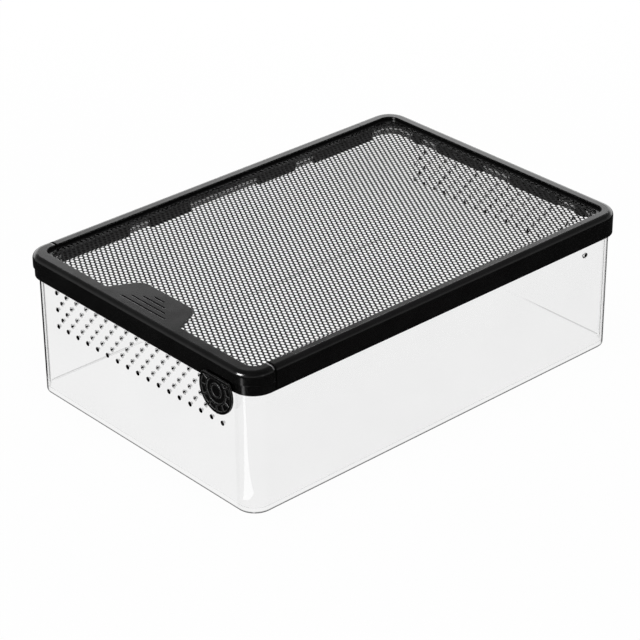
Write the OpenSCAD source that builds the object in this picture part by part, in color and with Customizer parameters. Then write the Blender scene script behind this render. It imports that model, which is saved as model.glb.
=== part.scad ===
// Clear keeper tub for small pets, with a black frame and a mesh lid that slides out of it.
// Millimetres. The origin is the centre of the tub's underside and +Z is up. The lid slides
// out towards -X, the short end with the thumb tab and the lock knob.

/* [Tub] */
// Length of the tub outside
tub_len = 314.5; // [240:0.5:420]
// Width of the tub outside
tub_w = 212; // [160:0.5:300]
// Height of the tub up to its top edge
tub_h = 91.4; // [85:0.1:200]
// Thickness of the tub's walls
tub_wall = 2; // [1.6:0.1:3]
// Thickness of the tub's floor
tub_floor = 2.2; // [1.5:0.1:4]
// Corner radius of the tub in plan
tub_corner_r = 12.6; // [9:0.1:20]
// Radius of the edge round the underside
foot_r = 0.8; // [0.5:0.1:4]
// Radius inside, where the walls meet the floor
floor_fillet_r = 1.6; // [0.5:0.1:3]

/* [Vents] */
// Diameter of a vent hole
vent_d = 3.3; // [1.5:0.1:4]
// Spacing of the vent holes along a row
vent_pitch = 10; // [8:0.5:14]
// Spacing of the rows of vents
vent_row_pitch = 6; // [5:0.1:8]
// Vent holes in the lowest row of each end
vent_columns = 17; // [5:2:17]
// Rows of vent holes in each end
vent_rows = 5; // [1:1:5]
// Height of the lowest row of vents
vent_low_z = 54.7; // [20:0.1:55]

/* [Probe hole] */
// Diameter of the small hole in the long wall
probe_d = 3; // [2:0.1:6]
// Distance from the rear end of the tub to the hole
probe_from_rear = 28.8; // [20:0.1:60]
// Height of the hole
probe_z = 74.7; // [30:0.1:78]

/* [Frame] */
// How far the frame stands out past the tub on each long side
frame_side_out = 3.3; // [3:0.1:6]
// How far the frame stands out past the tub at the rear
frame_rear_out = 1.85; // [1.8:0.05:5]
// How far the lid's end cap stands out past the tub at the front
frame_front_out = 3.3; // [3.2:0.05:6]
// How far the frame's band below the end cap is set back from it
band_inset = 1.05; // [0.8:0.05:1.3]
// Corner radius of the frame in plan
frame_corner_r = 15.3; // [12:0.1:20]
// How far the skirt hangs below the tub's top edge
skirt_drop = 8.5; // [5:0.1:8.6]
// Thickness of the skirt
skirt_wall = 1.5; // [1.2:0.1:1.5]
// Thickness of the lip on top
lip_t = 1.8; // [1.2:0.1:3]
// Radius of the frame's outer top edge
top_edge_r = 3.7; // [1:0.1:3.8]
// Width of the frame's top along the long sides and the rear
rail_w = 7.5; // [6.5:0.1:10]
// Width of the end cap's top
cap_w = 9.6; // [9:0.1:14]
// Corner radius of the opening
opening_r = 8; // [6:0.1:9]

/* [Guide ring] */
// Thickness of the shelf that the lid runs on
shelf_t = 1.8; // [1.2:0.1:3]
// Width of the fence that keeps the lid straight
fence_w = 1.6; // [1:0.1:1.8]
// Thickness of the tabs that hang inside the tub
tab_t = 1.6; // [1:0.1:2]
// How far the tabs hang below the tub's top edge
tab_drop = 7.3; // [3:0.1:8]
// Height of the strip that joins the tabs
tab_root_h = 0.5; // [0.3:0.1:2]
// Length of the middle gap on a long side
long_mid_gap = 59; // [20:0.5:80]
// Length of the middle tabs on a long side
long_tab = 33.5; // [20:0.5:40]
// Length of the outer gaps on a long side
long_gap = 17.5; // [8:0.5:20]
// Length of the outer tabs on a long side
long_end_tab = 54.5; // [30:0.5:56]
// Length of the middle gap at an end
end_mid_gap = 26; // [10:0.5:40]
// Length of the middle tabs at an end
end_tab = 44; // [20:0.5:46]
// Length of the outer gaps at an end
end_gap = 16; // [8:0.5:18]
// Length of the outer tabs at an end
end_end_tab = 8; // [4:0.5:10]

/* [Rail strips] */
// Length of the strip let into each rail
strip_len = 246; // [100:0.1:250]
// How far the middle of the strips lies from the middle of the tub, towards the rear
strip_shift = 1.1; // [-4:0.1:4]
// Width of the strip
strip_w = 3.5; // [3:0.1:3.7]
// Thickness of the strip
strip_t = 0.9; // [0.5:0.1:1.2]

/* [Lid] */
// Length of the end cap along the long sides
cap_len = 20.5; // [20:0.1:30]
// Height of the frame's band that shows below the end cap
band_h = 6.5; // [4:0.1:6.6]
// Height of the lid frame's runners
runner_h = 2.9; // [2:0.1:4]
// How far the lid frame shows inside the opening
ledge_w = 2.4; // [0.2:0.1:3]
// How far the mesh and its strips reach under the lid frame
mesh_bite = 1.9; // [1:0.1:2.4]
// Thickness of the mesh
mesh_t = 0.4; // [0.3:0.1:1]
// Thickness of the strips that hold the mesh
mesh_strip_t = 0.8; // [0.4:0.1:1]
// Width of a slot in the mesh. The slots stand for round holes at 3.5 spacing, too many to draw
mesh_slot_w = 2.4; // [1:0.1:3.9]
// Length of a slot in the mesh
mesh_slot_len = 30; // [10:0.5:60]
// Width of the bars between the slots
mesh_bar = 2.2; // [1:0.1:6]

/* [Thumb tab] */
// How far the thumb tab reaches in from the end cap
thumb_reach = 20.5; // [18:0.1:26]
// Width of the thumb tab where it leaves the end cap
thumb_base_w = 71; // [60:0.5:90]
// Angle of the thumb tab's sides from the length of the lid
thumb_side_angle = 27; // [15:1:40]
// Radius of the thumb tab's corners
thumb_corner_r = 9; // [2:0.5:10]
// Thickness of the thumb tab
thumb_t = 1.3; // [1:0.1:1.8]
// Number of grip grooves
groove_count = 4; // [2:1:4]
// Spacing of the grip grooves
groove_pitch = 4.3; // [3:0.1:5]
// Width of a groove
groove_w = 1.1; // [0.6:0.1:1.6]
// Depth of a groove
groove_depth = 0.6; // [0.3:0.1:0.8]
// Length of the longest groove
groove_len = 43; // [20:0.5:50]
// How much shorter each next groove is
groove_step = 11; // [6:0.5:12]

/* [Lock knob] */
// Diameter of the knob
knob_d = 29.6; // [24:0.1:32]
// Thickness of the knob
knob_t = 1.2; // [1:0.1:4]
// Distance from the knob's axis to its flat
knob_flat = 9.2; // [5:0.1:10]
// Distance from the tub's long side to the knob's axis
knob_from_side = 25.6; // [20:0.1:40]
// Distance from the tub's top edge down to the knob's axis
knob_from_top = 12.6; // [12:0.1:14]
// Width of the knob's plain border
knob_border = 1.8; // [1:0.1:3]
// Depth of the knob's sunken face
knob_face_depth = 0.5; // [0.2:0.1:0.8]
// Width of the ribs on the knob's face
knob_rib = 1.1; // [0.6:0.1:1.5]
// Number of spokes on the knob's face
knob_spokes = 12; // [6:1:16]
// Diameter of the spindle
spindle_d = 3.2; // [2.5:0.1:3.5]
// Diameter of the boss that the knob turns on
boss_d = 12; // [8:0.5:14]
// Diameter of the spindle's head inside the tub
retainer_d = 8.4; // [7:0.1:9]
// Thickness of the spindle's head
retainer_t = 2.5; // [1.5:0.1:4]

/* [Clearances] */
// Gap between the tub and what fits round or inside it
fit_gap = 0.35; // [0.3:0.05:0.5]
// Gap round whatever slides
run_gap = 0.3; // [0.2:0.05:0.4]
// Width of the seams that show on top
seam_gap = 0.5; // [0.3:0.1:0.8]
// Radial gap between the spindle and its bore
spindle_gap = 0.15; // [0.05:0.01:0.2]

/* [Hidden] */
$fn = 64;
cut = 1;
black = [0.09, 0.09, 0.1];
clear = [0.9, 0.95, 0.98, 0.35];

// Levels, from the underside up
skirt_z = tub_h - skirt_drop;
band_top_z = skirt_z + band_h;
cap_bottom_z = band_top_z + run_gap;
shelf_z = tub_h + shelf_t;
runner_z = shelf_z + run_gap;
runner_top_z = runner_z + runner_h;
lip_z = runner_top_z + run_gap;
top_z = lip_z + lip_t;
tab_z = tub_h - tab_drop;
mesh_z = runner_z + mesh_strip_t;

// Plan sizes of the frame, whose middle lies a little off the tub's
frame_len = tub_len + frame_front_out + frame_rear_out;
frame_w = tub_w + 2 * frame_side_out;
frame_x = (frame_rear_out - frame_front_out) / 2;
frame_front_x = frame_x - frame_len / 2;
frame_rear_x = frame_x + frame_len / 2;
seam_x = frame_front_x + cap_len;

// Opening in the top
opening_len = frame_len - cap_w - rail_w;
opening_w = frame_w - 2 * rail_w;
opening_x = frame_x + (cap_w - rail_w) / 2;
opening_front_x = opening_x - opening_len / 2;

// Steps inwards from the frame's outside
guide_in = skirt_wall + fit_gap;
fence_in = guide_in + fence_w;
lid_in = fence_in + run_gap;

// Lid frame, whose front reaches in behind the end cap's skirt
lid_rear_x = frame_rear_x - lid_in;
lid_front_x = frame_front_x + guide_in;
lid_len = lid_rear_x - lid_front_x;
lid_x = (lid_rear_x + lid_front_x) / 2;
lid_w = frame_w - 2 * lid_in;
window_len = opening_len - 2 * ledge_w;
window_w = opening_w - 2 * ledge_w;
mesh_len = window_len + 2 * mesh_bite;
mesh_w = window_w + 2 * mesh_bite;

// Knob
knob_y = -(tub_w / 2 - knob_from_side);
knob_z = tub_h - knob_from_top;
tub_front_x = -tub_len / 2;
knob_back_x = frame_front_x - fit_gap;
spindle_bore_d = spindle_d + 2 * spindle_gap;
boss_end_x = knob_back_x + run_gap / 2;
boss_top_z = skirt_z - run_gap;
retainer_x = tub_front_x + tub_wall + run_gap / 2;

// Rounded rectangle of a given corner radius
module plan(len, w, r) {
    square([len - 2 * r, w], center = true);
    square([len, w - 2 * r], center = true);
    for (sx = [-1, 1], sy = [-1, 1])
        translate([sx * (len / 2 - r), sy * (w / 2 - r)])
            circle(r);
}

// Outline of the tub, grown by g, or drawn in where g is negative
module tub_plan(g = 0) {
    plan(tub_len + 2 * g, tub_w + 2 * g, tub_corner_r + g);
}

// Outline of the frame, drawn in by g
module frame_plan(g = 0) {
    translate([frame_x, 0])
        plan(frame_len - 2 * g, frame_w - 2 * g, frame_corner_r - g);
}

// Outline of the opening in the top
module opening_plan() {
    translate([opening_x, 0])
        plan(opening_len, opening_w, opening_r);
}

// Outline of the lid frame's window, grown by g
module window_plan(g = 0) {
    translate([opening_x, 0])
        plan(window_len + 2 * g, window_w + 2 * g, opening_r + g);
}

// A slab of an outline between two heights
module level(z0, z1) {
    translate([0, 0, z0])
        linear_extrude(z1 - z0)
            children();
}

// A block across the whole width, between two lengths and two heights
module across(x0, x1, z0, z1) {
    translate([x0, -frame_w / 2 - cut, z0])
        cube([x1 - x0, frame_w + 2 * cut, z1 - z0]);
}

// Cross-section that rounds an outer edge at the origin
module edge_section(r) {
    difference() {
        translate([-r, -r])
            square(r + cut);
        translate([-r, -r])
            circle(r);
    }
}

// The same section carried round the top edge of a rounded rectangle
module edge_cutter(len, w, corner_r, r) {
    for (side = [[0, len, w], [90, w, len], [180, len, w], [270, w, len]])
        rotate(side[0])
            translate([corner_r - side[1] / 2, side[2] / 2, 0])
                rotate([90, 0, 90])
                    linear_extrude(side[1] - 2 * corner_r)
                        edge_section(r);
    for (corner = [[1, 1, 0], [-1, 1, 90], [-1, -1, 180], [1, -1, 270]])
        translate([corner[0] * (len / 2 - corner_r), corner[1] * (w / 2 - corner_r), 0])
            rotate(corner[2])
                rotate_extrude(angle = 90)
                    translate([corner_r, 0])
                        edge_section(r);
}

// Space inside the tub, rounded where the walls meet the floor
module tub_inside() {
    inner_r = tub_corner_r - tub_wall;
    difference() {
        level(tub_floor, tub_h + cut)
            tub_plan(-tub_wall);
        translate([0, 0, tub_floor])
            mirror([0, 0, 1])
                edge_cutter(tub_len - 2 * tub_wall, tub_w - 2 * tub_wall, inner_r, floor_fillet_r);
    }
}

// Rows of vent holes through both ends, each second row half a step along
module vents() {
    for (row = [0 : vent_rows - 1], end = [-1, 1]) {
        count = vent_columns - row % 2;
        for (i = [0 : count - 1]) {
            y = (i - (count - 1) / 2) * vent_pitch;
            z = vent_low_z + row * vent_row_pitch;
            clear_of_boss = norm([y - knob_y, z - knob_z]) > (boss_d + vent_d) / 2 + tub_wall;
            if (end > 0 || clear_of_boss)
                translate([end * (tub_len - tub_wall) / 2, y, z])
                    rotate([0, 90, 0])
                        cylinder(d = vent_d, h = tub_wall + 2 * cut, center = true);
        }
    }
}

// Boss on the front wall that carries the knob, flat on top to clear the frame
module knob_boss() {
    difference() {
        translate([boss_end_x, knob_y, knob_z])
            rotate([0, 90, 0])
                cylinder(d = boss_d, h = tub_front_x + tub_wall / 2 - boss_end_x);
        across(boss_end_x - cut, tub_front_x, boss_top_z, boss_top_z + boss_d);
    }
}

module tub() {
    color(clear)
        difference() {
            union() {
                difference() {
                    level(0, tub_h)
                        tub_plan();
                    mirror([0, 0, 1])
                        edge_cutter(tub_len, tub_w, tub_corner_r, foot_r);
                    tub_inside();
                }
                knob_boss();
            }
            vents();
            translate([boss_end_x - cut, knob_y, knob_z])
                rotate([0, 90, 0])
                    cylinder(d = spindle_bore_d, h = tub_front_x + tub_wall - boss_end_x + 2 * cut);
            translate([tub_len / 2 - probe_from_rear, -(tub_w - tub_wall) / 2, probe_z])
                rotate([90, 0, 0])
                    cylinder(d = probe_d, h = tub_wall + 2 * cut, center = true);
        }
}

// Skirt and lip all the way round, which the frame and the end cap share between them
module rim_shell() {
    difference() {
        union() {
            level(skirt_z, lip_z)
                difference() {
                    frame_plan();
                    frame_plan(skirt_wall);
                }
            level(lip_z, top_z)
                difference() {
                    frame_plan();
                    opening_plan();
                }
        }
        translate([frame_x, 0, top_z])
            edge_cutter(frame_len, frame_w, frame_corner_r, top_edge_r);
    }
}

// Outline of the frame's band below the end cap
module band_plan() {
    translate([frame_x + band_inset / 2, 0])
        plan(frame_len - band_inset, frame_w, frame_corner_r);
}

// Low band that closes the frame at the front, with a tongue up behind the end cap
module front_band() {
    intersection() {
        union() {
            level(skirt_z, band_top_z)
                difference() {
                    band_plan();
                    tub_plan(fit_gap);
                }
            level(band_top_z, tub_h)
                difference() {
                    frame_plan(guide_in);
                    tub_plan(fit_gap);
                }
        }
        across(frame_front_x - cut, seam_x + seam_gap / 2, skirt_z, tub_h);
    }
}

// Outline of a rail strip on the side that s gives, or of its seat, which is open to the inside
module strip_plan(s, end_gap = 0, open = 0) {
    x0 = strip_shift - strip_len / 2 + end_gap;
    y0 = s > 0 ? opening_w / 2 - open : -opening_w / 2 - strip_w;
    translate([x0, y0])
        square([strip_len - 2 * end_gap, strip_w + open]);
}

module outer_rim() {
    color(black)
        union() {
            difference() {
                rim_shell();
                across(frame_front_x - cut, seam_x + seam_gap / 2, skirt_z - cut, top_z + cut);
                for (s = [-1, 1])
                    level(top_z - strip_t, top_z + cut)
                        strip_plan(s, open = cut);
            }
            front_band();
        }
}

// A gap between the hanging tabs, centred on a long side or an end
module tab_gap(x, y, len_x, len_y) {
    translate([x - len_x / 2, y - len_y / 2, tab_z - cut])
        cube([len_x, len_y, tab_drop - tab_root_h + cut]);
}

// All the gaps between the tabs, the same in each quarter
module tab_gaps() {
    depth = 2 * (tab_t + tub_wall + fit_gap);
    long_gap_x = long_mid_gap / 2 + long_tab + long_gap / 2;
    end_gap_y = end_mid_gap / 2 + end_tab + end_gap / 2;
    corner_x = long_gap_x + long_gap / 2 + long_end_tab;
    corner_y = end_gap_y + end_gap / 2 + end_end_tab;
    for (sx = [-1, 1]) {
        tab_gap(sx * tub_len / 2, 0, depth, end_mid_gap);
        for (sy = [-1, 1]) {
            tab_gap(sx * tub_len / 2, sy * end_gap_y, depth, end_gap);
            tab_gap(sx * long_gap_x, sy * tub_w / 2, long_gap, depth);
            tab_gap(sx * (corner_x + tub_len / 2) / 2, sy * (corner_y + tub_w / 2) / 2,
                    tub_len / 2 - corner_x, tub_w / 2 - corner_y);
        }
    }
    for (sy = [-1, 1])
        tab_gap(0, sy * tub_w / 2, long_mid_gap, depth);
}

// Shelf, fence and hanging tabs
module guide_ring() {
    tab_outer = tub_wall + fit_gap;
    tab_inner = tab_outer + tab_t;
    color(black)
        union() {
            level(tub_h, shelf_z)
                difference() {
                    frame_plan(guide_in);
                    tub_plan(-tab_inner);
                }
            difference() {
                level(shelf_z, lip_z)
                    difference() {
                        frame_plan(guide_in);
                        frame_plan(fence_in);
                    }
                across(frame_front_x - cut, seam_x + seam_gap / 2, shelf_z - cut, lip_z + cut);
            }
            difference() {
                level(tab_z, tub_h)
                    difference() {
                        tub_plan(-tab_outer);
                        tub_plan(-tab_inner);
                    }
                tab_gaps();
            }
        }
}

module rail_strip(s) {
    color(black)
        level(top_z - strip_t, top_z)
            strip_plan(s, seam_gap / 2);
}

// Points along an arc round a centre
function arc(cx, cy, r, a0, a1, steps = 8) =
    [for (i = [0 : steps])
        let (a = a0 + (a1 - a0) * i / steps)
            [cx + r * cos(a), cy + r * sin(a)]];

// Outline of the thumb tab: straight sides that lean in, and two round corners
module thumb_plan() {
    reach = thumb_reach - thumb_corner_r;
    corner_x = opening_front_x + reach;
    corner_y = thumb_base_w / 2 - reach * tan(thumb_side_angle) - thumb_corner_r / cos(thumb_side_angle);
    polygon(concat([[opening_front_x, -thumb_base_w / 2]],
                   arc(corner_x, -corner_y, thumb_corner_r, -90 + thumb_side_angle, 0),
                   arc(corner_x, corner_y, thumb_corner_r, 0, 90 - thumb_side_angle),
                   [[opening_front_x, thumb_base_w / 2]]));
}

// Grip grooves, each shorter than the one before it
module grooves() {
    for (i = [0 : groove_count - 1]) {
        half = (groove_len - i * groove_step - groove_w) / 2;
        x = opening_front_x + i * groove_pitch;
        translate([x, 0, top_z - groove_depth]) {
            translate([-groove_w / 2, -half, 0])
                cube([groove_w, 2 * half, groove_depth + cut]);
            for (s = [-1, 1])
                translate([0, s * half, 0])
                    cylinder(d = groove_w, h = groove_depth + cut);
        }
    }
}

module end_cap() {
    color(black)
        difference() {
            union() {
                intersection() {
                    rim_shell();
                    across(frame_front_x - cut, seam_x - seam_gap / 2, cap_bottom_z, top_z + cut);
                }
                level(top_z - thumb_t, top_z)
                    thumb_plan();
            }
            grooves();
        }
}

// Moulded frame that holds the mesh and runs in the rails
module lid_frame() {
    color(black)
        difference() {
            union() {
                level(runner_z, runner_top_z)
                    difference() {
                        translate([lid_x, 0])
                            plan(lid_len, lid_w, frame_corner_r - lid_in);
                        window_plan();
                    }
                translate([lid_front_x + run_gap, -opening_w / 2 + opening_r, runner_z])
                    cube([cap_w - guide_in - 2 * run_gap, opening_w - 2 * opening_r, lip_z - runner_z]);
            }
            level(runner_z - cut, mesh_z + mesh_t)
                window_plan(mesh_bite);
        }
}

// Outline of one slot in the mesh
module mesh_slot() {
    square([mesh_slot_len - mesh_slot_w, mesh_slot_w], center = true);
    for (s = [-1, 1])
        translate([s * (mesh_slot_len - mesh_slot_w) / 2, 0])
            circle(d = mesh_slot_w);
}

// Slots in the mesh, each second row half a step along
module mesh_slots() {
    pitch_x = mesh_slot_len + mesh_bar;
    pitch_y = mesh_slot_w + mesh_bar;
    columns = floor((window_len - mesh_bar) / pitch_x);
    rows = floor((window_w / 2 - mesh_bar - mesh_slot_w / 2) / pitch_y);
    for (row = [-rows : rows]) {
        count = columns - abs(row % 2);
        for (i = [0 : count - 1])
            translate([opening_x + (i - (count - 1) / 2) * pitch_x, row * pitch_y])
                mesh_slot();
    }
}

module mesh_sheet() {
    color([0.25, 0.25, 0.26])
        level(mesh_z, mesh_z + mesh_t)
            difference() {
                window_plan(mesh_bite);
                mesh_slots();
            }
}

// Straight strip under an edge of the mesh, on a long side
module mesh_strip_long(s) {
    len = window_len - 2 * opening_r;
    color(black)
        translate([opening_x - len / 2, s > 0 ? mesh_w / 2 - mesh_bite : -mesh_w / 2, runner_z])
            cube([len, mesh_bite, mesh_strip_t]);
}

// The same across an end
module mesh_strip_across(s) {
    w = window_w - 2 * opening_r;
    x = s > 0 ? opening_x + mesh_len / 2 - mesh_bite : opening_x - mesh_len / 2;
    color(black)
        translate([x, -w / 2, runner_z])
            cube([mesh_bite, w, mesh_strip_t]);
}

// Knob outline, seen from the front: a disc with its top cut flat
module knob_plan(g = 0) {
    intersection() {
        circle(d = knob_d - 2 * g);
        translate([-knob_d, -knob_d])
            square([2 * knob_d, knob_d + knob_flat - g]);
    }
}

// Ribs of the knob's face: two rings, and spokes from the outer one to the border
module knob_ribs() {
    border_r = knob_d / 2 - knob_border;
    ring_step = border_r / 3;
    intersection() {
        knob_plan(knob_border);
        union() {
            for (r = [ring_step, 2 * ring_step])
                difference() {
                    circle(r + knob_rib / 2);
                    circle(r - knob_rib / 2);
                }
            for (i = [0 : knob_spokes - 1])
                rotate(i * 360 / knob_spokes)
                    translate([2 * ring_step, -knob_rib / 2])
                        square([ring_step + knob_border / 2, knob_rib]);
        }
    }
}

// Turns a shape drawn on the flat so that it stands on the front and faces it
module facing_front(x) {
    translate([x, knob_y, knob_z])
        rotate([90, 0, -90])
            children();
}

module lock_knob() {
    color(black)
        difference() {
            facing_front(knob_back_x)
                linear_extrude(knob_t)
                    knob_plan();
            facing_front(knob_back_x - knob_t + knob_face_depth)
                linear_extrude(knob_face_depth + cut)
                    difference() {
                        knob_plan(knob_border);
                        knob_ribs();
                    }
        }
}

// Headed spindle that goes through the boss from inside the tub and ends at the knob's back
module knob_retainer() {
    color(black)
        union() {
            translate([retainer_x, knob_y, knob_z])
                rotate([0, 90, 0])
                    cylinder(d = retainer_d, h = retainer_t);
            translate([knob_back_x, knob_y, knob_z])
                rotate([0, 90, 0])
                    cylinder(d = spindle_d, h = retainer_x + retainer_t / 2 - knob_back_x);
        }
}

tub();
outer_rim();
guide_ring();
rail_strip(1);  // rail_strip_left
rail_strip(-1);  // rail_strip_right
end_cap();
lid_frame();
mesh_sheet();
mesh_strip_long(1);  // mesh_strip_left
mesh_strip_long(-1);  // mesh_strip_right
mesh_strip_across(-1);  // mesh_strip_front
mesh_strip_across(1);  // mesh_strip_rear
lock_knob();
knob_retainer();
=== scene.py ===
import math

import bpy
import numpy as np
from mathutils import Matrix, Vector


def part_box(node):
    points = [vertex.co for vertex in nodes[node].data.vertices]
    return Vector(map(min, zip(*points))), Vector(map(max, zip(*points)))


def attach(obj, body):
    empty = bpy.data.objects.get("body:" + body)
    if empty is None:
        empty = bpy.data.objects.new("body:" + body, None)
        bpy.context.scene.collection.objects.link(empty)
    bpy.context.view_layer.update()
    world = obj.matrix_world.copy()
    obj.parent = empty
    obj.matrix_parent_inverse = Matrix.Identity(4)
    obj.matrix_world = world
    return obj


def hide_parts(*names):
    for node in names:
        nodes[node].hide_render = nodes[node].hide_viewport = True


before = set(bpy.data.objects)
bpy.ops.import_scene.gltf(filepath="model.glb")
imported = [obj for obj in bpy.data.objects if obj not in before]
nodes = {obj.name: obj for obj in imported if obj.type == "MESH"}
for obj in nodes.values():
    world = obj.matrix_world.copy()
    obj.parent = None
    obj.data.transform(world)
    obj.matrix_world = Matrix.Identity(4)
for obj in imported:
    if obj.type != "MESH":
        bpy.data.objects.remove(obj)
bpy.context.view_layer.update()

MM = 0.001

# The rim: the rails lie outside this, and the end cap meets them in a seam at an x
RAIL_INNER_Y = 98 * MM
SEAM_X = -140.05 * MM
SEAM_GROOVE = (0.4 * MM, 1.4 * MM)
SEAM_DEPTH = 0.6 * MM
SEAM_DULL = (0.5 * MM, 0.8 * MM)

# The tub, and the bounds between which its plastic changes: its painted shade and its index of
# refraction
TUB_HALF_X = 157.25 * MM
TUB_HALF_Y = 106.0 * MM
FOOT_SHADE_Z = (1.1 * MM, 1.7 * MM)
NEAR_SIDE = (3 * MM, 5 * MM)
FAR_FADE = (60 * MM, 85 * MM)
VENTS_Z = (30 * MM, 31 * MM)
FRONT_TO_REAR = (-100 * MM, 100 * MM)
END_X = (153.5 * MM, 154.5 * MM)
NEAR_CORNER_Y = -92 * MM

# The size of a normal's Z, 0 on a wall and 1 on a level face, where a change starts and ends
TILTED = (0.15, 0.3)
WALL = (0.2, 0.6)
NOT_LEVEL = (0.85, 0.97)
LEVEL = (0.93, 0.99)

# Looks. Most of a noise's values lie between NOISE's two
NOISE = (0.3, 0.7)
BLACK = ((0.002, 0.002, 0.002), (0.004, 0.004, 0.004))
# The grey of the painted highlight on the knob's relief edges
RELIEF_HIGHLIGHT_GREY = 0.2
CLEAR_IOR = 1.49
END_IOR = 1.22
LEVEL_IOR = 1.01
# The tub's painted shade: where a wall is seen edge-on, along the near sides' foot and in the
# vents' bores
GRAZING = (0.6, 0.72)
PAINTED_SHADE_GREY = 0.04
FAR_FOOT_SHADE = 0.5
VENT_PAINTED_SHADE = (0.7, 0.35)

# The perforated sheet. Its pitch and turn are read from the photograph, and the holes' size and
# shape are fitted to how bright the sheet looks in it, not measured
PITCH = 3.48 * MM
HOLE_LONG_R = 1.62 * MM
HOLE_SHORT_R = 1.16 * MM
HOLE_TURN = math.radians(66)
SHEET_T = 0.25 * MM
LATTICE_TURN = math.radians(1.0)
LATTICE_ORIGIN = np.array([-0.9, 0.86]) * MM
SHEET_CORNER_R = 9.9 * MM
SIDES = 12
MERGE = 1e-6
TINY = 1e-12

# The matt step round the inside of the tub, just under its top edge: a guess from the pale
# stripes that show between the ring's tabs
STEP_Z = (87.1 * MM, 88.7 * MM)
STEP_X, STEP_Y, STEP_R = 155.22 * MM, 103.97 * MM, 10.57 * MM
STEP_T = 0.2 * MM

# The studio: the floor, and levels of grey by the height of a direction, from the horizon up
FLOOR_HALF = 6.0
FLOOR_Z = -0.5 * MM
FLOOR_COLOUR = (0.9, 0.9, 0.9, 1)
MIRRORED_FLOOR = (0.04, 0.04, 0.04, 1)
FLOOR_GLOW = 0.96
BEHIND = [(0.0, 0.6), (0.4, 0.5), (0.55, 0.2), (1.0, 0.06)]
FRONT = [(0.0, 0.5), (0.17, 0.4), (0.45, 0.08), (1.0, 0.04)]
BEHIND_HEADING = (0.668, 0.744, 0)
TURNOVER = 0.3

# The photograph's own view, worked out from the object's edges
IMAGE_PX = 640
FOCAL_PX = 2471.953
SENSOR_MM = 36
CAMERA_PLACE = (-0.945207, -1.044218, 0.811504)
CAMERA_FORWARD = (0.58467, 0.65109, -0.483986)
CAMERA_ROLL = math.radians(-0.5181)


def new_material(name):
    """A material with only its output and a Principled shader."""
    mat = bpy.data.materials.new(name)
    mat.use_nodes = True
    tree = mat.node_tree
    tree.nodes.clear()
    out = tree.nodes.new("ShaderNodeOutputMaterial")
    shader = tree.nodes.new("ShaderNodeBsdfPrincipled")
    tree.links.new(shader.outputs["BSDF"], out.inputs["Surface"])
    return mat, tree, shader


def xyz(tree, vector):
    """The X, Y and Z of a linked vector."""
    split = tree.nodes.new("ShaderNodeSeparateXYZ")
    tree.links.new(vector, split.inputs["Vector"])
    return split.outputs["X"], split.outputs["Y"], split.outputs["Z"]


def own_place(tree):
    """A point's place in the object's own coordinates, in metres."""
    return tree.nodes.new("ShaderNodeTexCoord").outputs["Object"]


def noise(tree, scale, detail):
    """Noise in the object's own coordinates."""
    tex = tree.nodes.new("ShaderNodeTexNoise")
    tex.inputs["Scale"].default_value = scale
    tex.inputs["Detail"].default_value = detail
    tree.links.new(own_place(tree), tex.inputs["Vector"])
    return tex.outputs["Fac"]


def calculate(tree, operation, first, second=None):
    """One step of arithmetic on a linked value."""
    node = tree.nodes.new("ShaderNodeMath")
    node.operation = operation
    tree.links.new(first, node.inputs[0])
    if isinstance(second, (int, float)):
        node.inputs[1].default_value = second
    elif second is not None:
        tree.links.new(second, node.inputs[1])
    return node.outputs[0]


def spread(tree, value, low, high, between=NOISE):
    """Carries a value from between two bounds over to low and high."""
    node = tree.nodes.new("ShaderNodeMapRange")
    node.inputs["From Min"].default_value = between[0]
    node.inputs["From Max"].default_value = between[1]
    node.inputs["To Min"].default_value = low
    node.inputs["To Max"].default_value = high
    tree.links.new(value, node.inputs["Value"])
    return node.outputs["Result"]


def tint(tree, value, dark, light):
    """A colour between two, by a noise value."""
    ramp = tree.nodes.new("ShaderNodeValToRGB")
    for element, position, colour in zip(ramp.color_ramp.elements, NOISE, (dark, light)):
        element.position = position
        element.color = (*colour, 1)
    tree.links.new(value, ramp.inputs["Fac"])
    return ramp.outputs["Color"]


def mixed_colour(tree, factor, first, second):
    """A linked colour mixed with another, which is linked or a grey level."""
    node = tree.nodes.new("ShaderNodeMix")
    node.data_type = "RGBA"
    tree.links.new(factor, node.inputs[0])
    tree.links.new(first, node.inputs[6])
    if isinstance(second, float):
        node.inputs[7].default_value = (second,) * 3 + (1,)
    else:
        tree.links.new(second, node.inputs[7])
    return node.outputs[2]


def rounded_normal(tree, radius, samples):
    """The normal of edges that shade as if rounded."""
    node = tree.nodes.new("ShaderNodeBevel")
    node.samples = samples
    node.inputs["Radius"].default_value = radius
    return node.outputs["Normal"]


def bump(tree, height, distance, strength=1.0, normal=None):
    """Bump from a height, over another normal if there is one."""
    node = tree.nodes.new("ShaderNodeBump")
    node.inputs["Strength"].default_value = strength
    node.inputs["Distance"].default_value = distance
    tree.links.new(height, node.inputs["Height"])
    if normal is not None:
        tree.links.new(normal, node.inputs["Normal"])
    return node.outputs["Normal"]


def seam(tree, width):
    """0 where the end cap meets the long rails, 1 away from there."""
    x, y, _ = xyz(tree, own_place(tree))
    along = calculate(tree, "ABSOLUTE", calculate(tree, "SUBTRACT", x, SEAM_X))
    inwards = calculate(tree, "MULTIPLY", calculate(tree, "ABSOLUTE", y), -1.0)
    off_rail = calculate(tree, "ADD", inwards, RAIL_INNER_Y)
    return spread(tree, calculate(tree, "MAXIMUM", along, off_rail), 0.0, 1.0, width)


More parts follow.
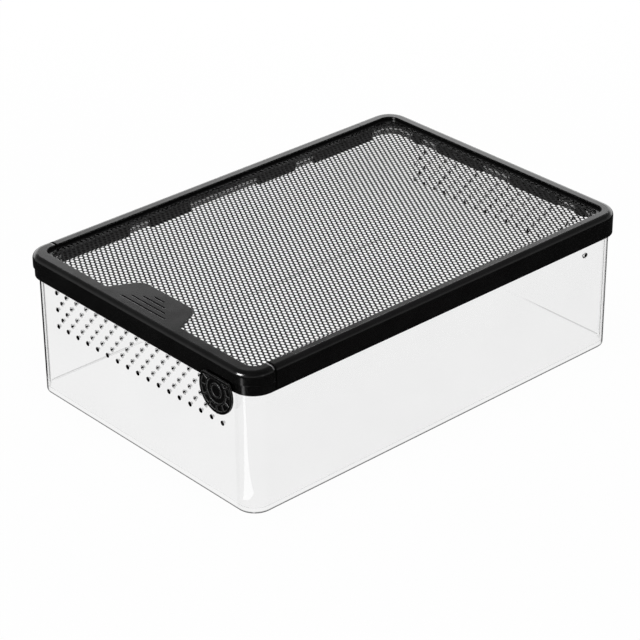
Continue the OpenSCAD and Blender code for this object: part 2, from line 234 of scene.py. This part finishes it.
def black_plastic(name, rough, edge, specular=0.5, seamed=False):
    """Moulded black plastic: a faint mottle, a fine grain, softened edges and perhaps a seam."""
    mat, tree, shader = new_material(name)
    mottle = noise(tree, 60, detail=4)
    grain = noise(tree, 2600, detail=2)
    tree.links.new(tint(tree, mottle, *BLACK), shader.inputs["Base Color"])
    tree.links.new(spread(tree, mottle, *rough), shader.inputs["Roughness"])
    normal = bump(tree, grain, 0.02 * MM, 0.3, rounded_normal(tree, edge, samples=4))
    shader.inputs["Specular IOR Level"].default_value = specular
    if seamed:
        normal = bump(tree, seam(tree, SEAM_GROOVE), SEAM_DEPTH, normal=normal)
        gloss = spread(tree, seam(tree, SEAM_DULL), 0.02, specular, (0.0, 1.0))
        tree.links.new(gloss, shader.inputs["Specular IOR Level"])
    tree.links.new(normal, shader.inputs["Normal"])
    shader.inputs["IOR"].default_value = 1.5
    return mat


def relief_plastic(name):
    """Black plastic with a raised pattern and a painted highlight: paler where its edges turn."""
    mat, tree, shader = new_material(name)
    mottle = noise(tree, 300, detail=3)
    rounding = rounded_normal(tree, 0.5 * MM, samples=8)
    surface = tree.nodes.new("ShaderNodeNewGeometry")
    turn = tree.nodes.new("ShaderNodeVectorMath")
    turn.operation = "DOT_PRODUCT"
    tree.links.new(rounding, turn.inputs[0])
    tree.links.new(surface.outputs["True Normal"], turn.inputs[1])
    # Painted highlight: the base colour turns paler where the relief's edges turn
    edges = spread(tree, turn.outputs["Value"], 1.0, 0.0, (0.75, 0.97))
    colour = mixed_colour(tree, edges, tint(tree, mottle, *BLACK), RELIEF_HIGHLIGHT_GREY)
    tree.links.new(colour, shader.inputs["Base Color"])
    tree.links.new(spread(tree, mottle, 0.25, 0.35), shader.inputs["Roughness"])
    shader.inputs["Specular IOR Level"].default_value = 0.15
    tree.links.new(rounding, shader.inputs["Normal"])
    return mat


def painted_foot_shade(tree, place, level):
    """Painted shade: 1 on the tub's lowest edge at the two near sides, fading out across the
    bottom.
    """
    x, y, z = place
    from_near = calculate(tree, "MINIMUM", calculate(tree, "ADD", x, TUB_HALF_X),
                          calculate(tree, "ADD", y, TUB_HALF_Y))
    by_side = calculate(tree, "MAXIMUM", spread(tree, from_near, 1.0, 0.0, NEAR_SIDE),
                        spread(tree, from_near, FAR_FOOT_SHADE, 0.0, FAR_FADE))
    low = calculate(tree, "MULTIPLY", spread(tree, z, 1.0, 0.0, FOOT_SHADE_Z), by_side)
    return calculate(tree, "MULTIPLY", low, spread(tree, level, 1.0, 0.0, NOT_LEVEL))


def painted_vent_shade(tree, place, level):
    """Painted shade in the bores of the vents: darker in the front end than in the rear one."""
    x, _, z = place
    bore = calculate(tree, "MULTIPLY", spread(tree, level, 0.0, 1.0, TILTED),
                     spread(tree, level, 1.0, 0.0, NOT_LEVEL))
    vents = calculate(tree, "MULTIPLY", spread(tree, z, 0.0, 1.0, VENTS_Z),
                      spread(tree, x, *VENT_PAINTED_SHADE, FRONT_TO_REAR))
    return calculate(tree, "MULTIPLY", bore, vents)


def light_bending(tree, place, level):
    """Index of refraction, a stand-in: the real plastic's on the long walls, less elsewhere.

    With the real one everywhere, light stays trapped in the thin bottom and between the vents,
    and both turn black."""
    x, y, _ = place
    at_end = calculate(tree, "MINIMUM", calculate(tree, "ABSOLUTE", x),
                       calculate(tree, "ADD", y, END_X[0] - NEAR_CORNER_Y))
    return calculate(tree, "MINIMUM", spread(tree, level, CLEAR_IOR, LEVEL_IOR, LEVEL),
                     spread(tree, at_end, CLEAR_IOR, END_IOR, END_X))


def clear_plastic(name):
    """Clear moulded plastic with the faint waves that moulding leaves.

    It has painted shade: darker where a wall turns away, along the near sides' foot and in the
    vents."""
    mat, tree, shader = new_material(name)
    waves = noise(tree, 9, detail=0)
    haze = noise(tree, 25, detail=2)
    clean = tint(tree, haze, (0.962, 0.962, 0.962), (0.975, 0.975, 0.975))
    edge = tree.nodes.new("ShaderNodeLayerWeight")
    edge.inputs["Blend"].default_value = 0.5
    grazing = spread(tree, edge.outputs["Facing"], 0.0, 1.0, GRAZING)
    surface = tree.nodes.new("ShaderNodeNewGeometry")
    level = calculate(tree, "ABSOLUTE", xyz(tree, surface.outputs["Normal"])[2])
    place = xyz(tree, own_place(tree))
    # Painted shade where a wall is seen edge-on, along the near sides' foot and in the vents' bores
    painted_grazing_shade = calculate(tree, "MULTIPLY", grazing, spread(tree, level, 1.0, 0.0, WALL))
    painted_foot_and_vent_shade = calculate(tree, "MAXIMUM", painted_foot_shade(tree, place, level),
                      painted_vent_shade(tree, place, level))
    dark = calculate(tree, "MAXIMUM", painted_grazing_shade, painted_foot_and_vent_shade)
    tree.links.new(mixed_colour(tree, dark, clean, PAINTED_SHADE_GREY), shader.inputs["Base Color"])
    tree.links.new(bump(tree, waves, 0.3 * MM, 0.2), shader.inputs["Normal"])
    shader.inputs["Roughness"].default_value = 0.0
    shader.inputs["IOR"].default_value = CLEAR_IOR
    tree.links.new(light_bending(tree, place, level), shader.inputs["IOR"])
    shader.inputs["Transmission Weight"].default_value = 1.0
    return mat


def coated_metal(name):
    """Black coated perforated sheet."""
    mat, tree, shader = new_material(name)
    speckle = noise(tree, 900, detail=2)
    colour = tint(tree, speckle, (0.02, 0.02, 0.02), (0.03, 0.03, 0.03))
    tree.links.new(colour, shader.inputs["Base Color"])
    tree.links.new(spread(tree, speckle, 0.4, 0.55), shader.inputs["Roughness"])
    tree.links.new(bump(tree, speckle, 0.03 * MM, 0.4), shader.inputs["Normal"])
    shader.inputs["Specular IOR Level"].default_value = 0.08
    return mat


def frosted_plastic(name):
    """The tub's plastic where a step in it is left matt, which catches the light."""
    mat, tree, shader = new_material(name)
    patches = noise(tree, 400, detail=3)
    colour = tint(tree, patches, (0.6, 0.6, 0.6), (0.8, 0.8, 0.8))
    tree.links.new(colour, shader.inputs["Base Color"])
    tree.links.new(spread(tree, patches, 0.5, 0.7), shader.inputs["Roughness"])
    return mat


def dress(names, mat):
    """Gives CAD nodes a material in place of their own."""
    for name in names:
        slots = nodes[name].data.materials
        for i in range(len(slots)):
            slots[i] = mat
        if not slots:
            slots.append(mat)


def new_piece(name, co, faces):
    """A mesh object in the scene."""
    mesh = bpy.data.meshes.new(name)
    mesh.from_pydata(co, [], faces)
    mesh.validate()
    obj = bpy.data.objects.new(name, mesh)
    bpy.context.scene.collection.objects.link(obj)
    return obj


def to_outline(points, low, high, corner_r):
    """Moves points that lie outside a rounded rectangle onto it, and tells which they are."""
    core = np.clip(points, low + corner_r, high - corner_r)
    away = points - core
    reach = np.abs(away)
    diagonal = (reach[:, 0] > 0) & (reach[:, 1] > 0)
    dist = np.where(diagonal, np.hypot(away[:, 0], away[:, 1]), reach.max(axis=1))
    outside = dist >= corner_r
    scale = np.where(outside, corner_r / np.maximum(dist, TINY), 1.0)
    return core + away * scale[:, None], outside


def lattice(low, high, turn):
    """The holes' centres: staggered rows that cover a rectangle."""
    row = PITCH * math.sqrt(3) / 2
    span = int(np.linalg.norm(high - low) / row / 2) + 4
    j, i = np.mgrid[-span:span + 1, -span:span + 1]
    centres = np.stack([(i + 0.5 * (j % 2)) * PITCH, j * row], axis=-1).reshape(-1, 2)
    centres = centres @ turn + LATTICE_ORIGIN
    near = np.all((centres > low - PITCH / 2) & (centres < high + PITCH / 2), axis=1)
    return centres[near]


def perforated_plan(low, high):
    """Flat cells of a staggered hole pattern: vertices and counter-clockwise faces."""
    c, s = math.cos(LATTICE_TURN), math.sin(LATTICE_TURN)
    turn = np.array([[c, s], [-s, c]])
    centres = lattice(low, high, turn)
    k = np.arange(SIDES)
    angles = 2 * math.pi * k / SIDES
    ring = np.stack([np.cos(angles), np.sin(angles)], axis=1)
    outer_r = np.where(k % 2 == 0, PITCH / 2, PITCH / math.sqrt(3))
    across = np.cos(angles - HOLE_TURN) / HOLE_LONG_R
    along = np.sin(angles - HOLE_TURN) / HOLE_SHORT_R
    hole = (ring / np.hypot(across, along)[:, None]) @ turn
    rim = (ring * outer_r[:, None]) @ turn
    points = np.concatenate([centres[:, None] + hole, centres[:, None] + rim], axis=1)
    points, outside = to_outline(points.reshape(-1, 2), low, high, SHEET_CORNER_R)
    _, first, index = np.unique(np.round(points / MERGE).astype(np.int64), axis=0,
                                return_index=True, return_inverse=True)
    index = index.reshape(-1)
    n = (k + 1) % SIDES
    cell = np.stack([k, k + SIDES, n + SIDES, n], axis=1)
    quads = (np.arange(len(centres))[:, None, None] * 2 * SIDES + cell[None]).reshape(-1, 4)
    quads = index[quads[~outside[quads].all(axis=1)]]
    whole = np.array([len(set(q)) == 4 for q in quads.tolist()])
    thin = [tuple(dict.fromkeys(q)) for q in quads[~whole].tolist()]
    faces = [tuple(q) for q in quads[whole].tolist()] + [t for t in thin if len(t) == 3]
    return points[first], faces


def solid_sheet(name, points, faces, z_low, z_high):
    """A closed plate of the flat cells between two heights."""
    used = sorted({v for face in faces for v in face})
    place = {v: k for k, v in enumerate(used)}
    flat = points[used].tolist()
    count = len(used)
    top = [tuple(place[v] for v in face) for face in faces]
    bottom = [tuple(v + count for v in reversed(face)) for face in top]
    edges = {(face[k], face[(k + 1) % len(face)]) for face in top for k in range(len(face))}
    walls = [(b, a, a + count, b + count) for a, b in edges if (b, a) not in edges]
    co = [(x, y, z_high) for x, y in flat] + [(x, y, z_low) for x, y in flat]
    return new_piece(name, co, top + bottom + sorted(walls))


def make_perforated_sheet(metal):
    """The sheet with each of its holes, in place of the slotted one."""
    low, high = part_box("mesh_sheet")
    points, faces = perforated_plan(np.array(low[:2]), np.array(high[:2]))
    perforated = solid_sheet("perforated_sheet", points, faces, high[2] - SHEET_T, high[2])
    perforated.data.materials.append(metal)
    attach(perforated, "lid")
    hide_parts("mesh_sheet")
    return perforated


def rounded_outline(half_x, half_y, corner_r, steps=10):
    """Points round a rounded rectangle about the origin, counter-clockwise."""
    points = []
    for quarter, (sx, sy) in enumerate([(1, 1), (-1, 1), (-1, -1), (1, -1)]):
        for k in range(steps + 1):
            a = math.pi / 2 * (quarter + k / steps)
            points.append((sx * (half_x - corner_r) + corner_r * math.cos(a),
                           sy * (half_y - corner_r) + corner_r * math.sin(a)))
    return points


def band(name, outer, inner, heights):
    """A closed band between two outlines of as many points and between two heights."""
    n = len(outer)
    co = [(x, y, z) for z in heights for x, y in outer + inner]
    faces = []
    for k in range(n):
        m = (k + 1) % n
        faces += [(k, m, m + 2 * n, k + 2 * n), (m + n, k + n, k + 3 * n, m + 3 * n),
                  (k + 2 * n, m + 2 * n, m + 3 * n, k + 3 * n), (m, k, k + n, m + n)]
    return new_piece(name, co, faces)


def make_rim_step():
    """The matt step, a thin band that is part of the tub's moulding."""
    outer = rounded_outline(STEP_X, STEP_Y, STEP_R)
    inner = rounded_outline(STEP_X - STEP_T, STEP_Y - STEP_T, STEP_R - STEP_T)
    step = band("rim_step", outer, inner, STEP_Z)
    step.data.materials.append(frosted_plastic("frosted_plastic"))
    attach(step, "tub")


def seen_through(tree):
    """1 for what the camera sees, also through the clear plastic."""
    path = tree.nodes.new("ShaderNodeLightPath")
    seen = calculate(tree, "MAXIMUM", path.outputs["Is Camera Ray"],
                     path.outputs["Is Transmission Ray"])
    return path, seen


def mixed(tree, factor, first, second):
    """Two shaders mixed by a factor."""
    node = tree.nodes.new("ShaderNodeMixShader")
    tree.links.new(factor, node.inputs["Fac"])
    tree.links.new(first, node.inputs[1])
    tree.links.new(second, node.inputs[2])
    return node.outputs["Shader"]


def make_floor():
    """White where it is seen, with a little of the shadow, and dim where the plastic mirrors it."""
    corners = [(-1, -1), (1, -1), (1, 1), (-1, 1)]
    floor = new_piece("floor", [(sx * FLOOR_HALF, sy * FLOOR_HALF, FLOOR_Z) for sx, sy in corners],
                      [(0, 1, 2, 3)])
    mat = bpy.data.materials.new("floor_white")
    mat.use_nodes = True
    tree = mat.node_tree
    tree.nodes.clear()
    out = tree.nodes.new("ShaderNodeOutputMaterial")
    pale, dim = (tree.nodes.new("ShaderNodeBsdfDiffuse") for _ in range(2))
    pale.inputs["Color"].default_value = FLOOR_COLOUR
    dim.inputs["Color"].default_value = MIRRORED_FLOOR
    glow = tree.nodes.new("ShaderNodeEmission")
    path, seen = seen_through(tree)
    lit = mixed(tree, path.outputs["Is Glossy Ray"], pale.outputs["BSDF"], dim.outputs["BSDF"])
    share = calculate(tree, "MULTIPLY", seen, FLOOR_GLOW)
    tree.links.new(mixed(tree, share, lit, glow.outputs["Emission"]), out.inputs["Surface"])
    floor.data.materials.append(mat)


def levels(tree, height, stops):
    """Grey levels by the height of a direction."""
    node = tree.nodes.new("ShaderNodeValToRGB")
    elements = node.color_ramp.elements
    while len(elements) > 1:
        elements.remove(elements[-1])
    elements[0].position = stops[0][0]
    elements[0].color = (stops[0][1],) * 3 + (1,)
    for at, level in stops[1:]:
        elements.new(at).color = (level,) * 3 + (1,)
    tree.links.new(height, node.inputs["Fac"])
    return node.outputs["Color"]


def make_world():
    """White to the camera. To the object, a studio: bright behind it, dim in front, dark above."""
    world = bpy.data.worlds.new("studio")
    bpy.context.scene.world = world
    world.use_nodes = True
    tree = world.node_tree
    tree.nodes.clear()
    out = tree.nodes.new("ShaderNodeOutputWorld")
    direction = tree.nodes.new("ShaderNodeTexCoord").outputs["Generated"]
    height = xyz(tree, direction)[2]
    facing = tree.nodes.new("ShaderNodeVectorMath")
    facing.operation = "DOT_PRODUCT"
    facing.inputs[1].default_value = BEHIND_HEADING
    tree.links.new(direction, facing.inputs[0])
    side = tree.nodes.new("ShaderNodeMapRange")
    side.interpolation_type = "SMOOTHSTEP"
    side.inputs["From Min"].default_value = -TURNOVER
    side.inputs["From Max"].default_value = TURNOVER
    tree.links.new(facing.outputs["Value"], side.inputs["Value"])
    colour = mixed_colour(tree, side.outputs["Result"], levels(tree, height, FRONT),
                          levels(tree, height, BEHIND))
    studio, white = (tree.nodes.new("ShaderNodeBackground") for _ in range(2))
    tree.links.new(colour, studio.inputs["Color"])
    _, seen = seen_through(tree)
    both = mixed(tree, seen, studio.outputs["Background"], white.outputs["Background"])
    tree.links.new(both, out.inputs["Surface"])


def lamp(name, place, target, width, height, watts, glossy=True, diffuse=True):
    """A soft lamp that looks at a target and is seen at most as a reflection."""
    data = bpy.data.lights.new(name, "AREA")
    data.shape = "RECTANGLE"
    data.size = width
    data.size_y = height
    data.energy = watts
    obj = bpy.data.objects.new(name, data)
    obj.location = place
    obj.rotation_euler = (Vector(target) - Vector(place)).to_track_quat("-Z", "Y").to_euler()
    obj.visible_camera = False
    obj.visible_transmission = False
    obj.visible_glossy = glossy
    obj.visible_diffuse = diffuse
    bpy.context.scene.collection.objects.link(obj)
    return obj


def unlit_by(light, name, pieces):
    """Keeps a lamp's light off some pieces."""
    group = bpy.data.collections.new(name)
    light.light_linking.receiver_collection = group
    for piece in pieces:
        group.objects.link(piece)
    for member in group.collection_objects:
        member.light_linking.link_state = "EXCLUDE"


def make_lamps(tub, sheet):
    """A soft top light, a panel behind, and three lamps that act only as reflections."""
    lamp("soft_top", (-0.4, -0.3, 1.6), (0, 0, 0.05),
         width=1.2, height=1.2, watts=22, glossy=False)
    panel = lamp("panel_behind", (0.502, 0.557, 0.25), (0, 0, 0.25),
                 width=2.4, height=0.5, watts=5.6)
    unlit_by(panel, "clear_of_panel", [tub, sheet])
    left_front = lamp("left_front", (-1.045, 0.025, 0.538), (-0.155, -0.1, 0.1),
                      width=0.36, height=0.3, watts=16, diffuse=False)
    unlit_by(left_front, "clear_of_left_front", [sheet])
    lamp("low_card", (-0.25, -0.105, 0.0), (-0.25, -0.105, 1.0),
         width=0.16, height=0.028, watts=0.036, diffuse=False)
    lamp("right_strip", (-0.06, -0.9, 0.05), (-0.15, -0.1, 0.09),
         width=0.1, height=0.9, watts=0.16, diffuse=False)


def make_camera():
    """The photograph's own view."""
    forward = Vector(CAMERA_FORWARD).normalized()
    level_right = forward.cross(Vector((0, 0, 1))).normalized()
    level_up = level_right.cross(forward)
    c, s = math.cos(CAMERA_ROLL), math.sin(CAMERA_ROLL)
    right = c * level_right + s * level_up
    up = -s * level_right + c * level_up
    data = bpy.data.cameras.new("camera")
    data.sensor_width = SENSOR_MM
    data.lens = FOCAL_PX * SENSOR_MM / IMAGE_PX
    data.clip_start = 0.01
    data.clip_end = 50
    camera = bpy.data.objects.new("camera", data)
    turn = Matrix((right, up, -forward)).transposed().to_4x4()
    camera.matrix_world = Matrix.Translation(Vector(CAMERA_PLACE)) @ turn
    bpy.context.scene.collection.objects.link(camera)
    bpy.context.scene.camera = camera


dress(["outer_rim", "end_cap", "lid_frame"],
      black_plastic("black_plastic", rough=(0.15, 0.21), edge=0.4 * MM, seamed=True))
dress(["guide_ring"],
      black_plastic("black_plastic_dull", rough=(0.35, 0.45), edge=0.4 * MM, specular=0.1))
dress(["rail_strip_left", "rail_strip_right", "mesh_strip_left", "mesh_strip_right",
       "mesh_strip_front", "mesh_strip_rear", "knob_retainer"],
      black_plastic("black_plastic_fine", rough=(0.2, 0.28), edge=0.15 * MM))
dress(["lock_knob"], relief_plastic("black_plastic_relief_painted_highlight"))
dress(["tub"], clear_plastic("clear_plastic"))
metal = coated_metal("mesh_metal")
dress(["mesh_sheet"], metal)

# The clear tub casts no shadow, and diffuse light passes it: a stand-in
tub = nodes["tub"]
tub.visible_shadow = False
tub.visible_diffuse = False

perforated = make_perforated_sheet(metal)
make_rim_step()
make_floor()
make_world()
make_lamps(tub, perforated)
make_camera()
bpy.context.scene.view_settings.view_transform = "Standard"
